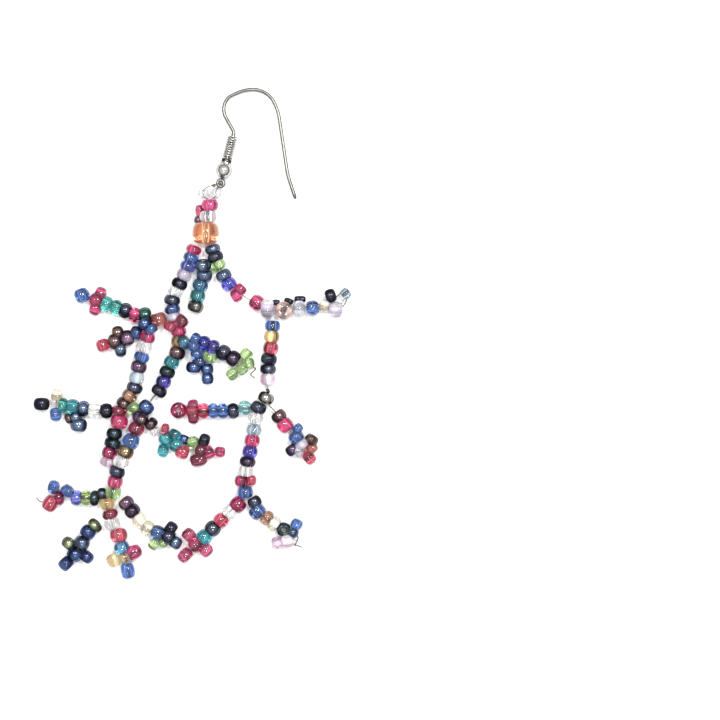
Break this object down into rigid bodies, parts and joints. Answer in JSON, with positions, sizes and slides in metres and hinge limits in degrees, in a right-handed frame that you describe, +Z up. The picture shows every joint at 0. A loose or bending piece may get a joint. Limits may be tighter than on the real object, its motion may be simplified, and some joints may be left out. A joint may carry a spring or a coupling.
{
  "type": "seed bead earring",
  "caption": "Drop earring lying flat: French ear hook with coil and ball, over a net of branching glass seed bead strands.",
  "frame": {"origin": "on the surface that the earring lies on, below the middle of its bounding box", "axes": "+X to the right and +Y up towards the ear hook as pictured from above, +Z up off the surface"},
  "size_m": [0.0609, 0.0936, 0.0052],
  "materials": {
    "wire": "bright silver-coloured metal",
    "coil": "bright silver-coloured metal",
    "ball": "bright silver-coloured metal",
    "thread": "fine doubled beading thread",
    "clear_glass": "clear glass",
    "pink_glass": "transparent pink glass",
    "crystal_glass": "silver-lined crystal",
    "orange_glass": "coral orange glass",
    "lilac_glass": "milky lilac glass",
    "peach_glass": "pale peach glass",
    "white_glass": "milky white glass",
    "strand_beads": "glossy transparent, lined and metallic glass seed beads of mixed colours",
    "branch_beads": "glossy transparent, lined and metallic glass seed beads of mixed colours"
  },
  "bodies": {
    "root": {"ear_hook": "wire", "hook_coil": "coil", "hook_ball": "ball", "hanging_thread": "thread", "clear_bead_left": "clear_glass", "clear_bead_right": "clear_glass", "pink_bead": "pink_glass", "crystal_bead": "crystal_glass", "orange_bead": "orange_glass", "lilac_bead": "lilac_glass", "peach_bead": "peach_glass", "white_bead": "white_glass", "left_strand": "strand_beads", "second_left_strand": "strand_beads", "middle_strand": "strand_beads", "right_upper_strand": "strand_beads", "right_strand": "strand_beads", "upper_left_branch": "branch_beads", "second_left_branch": "branch_beads", "middle_left_branch": "branch_beads", "cluster_branch": "branch_beads", "centre_branch": "branch_beads", "centre_lower_branch": "branch_beads", "low_left_branch": "branch_beads", "low_branch": "branch_beads", "corner_left_branch": "branch_beads", "low_right_branch": "branch_beads", "upper_right_branch": "branch_beads", "inner_branch": "branch_beads", "outer_branch": "branch_beads", "foot_left_branch": "branch_beads", "foot_right_branch": "branch_beads"}
  },
  "joints": []
}
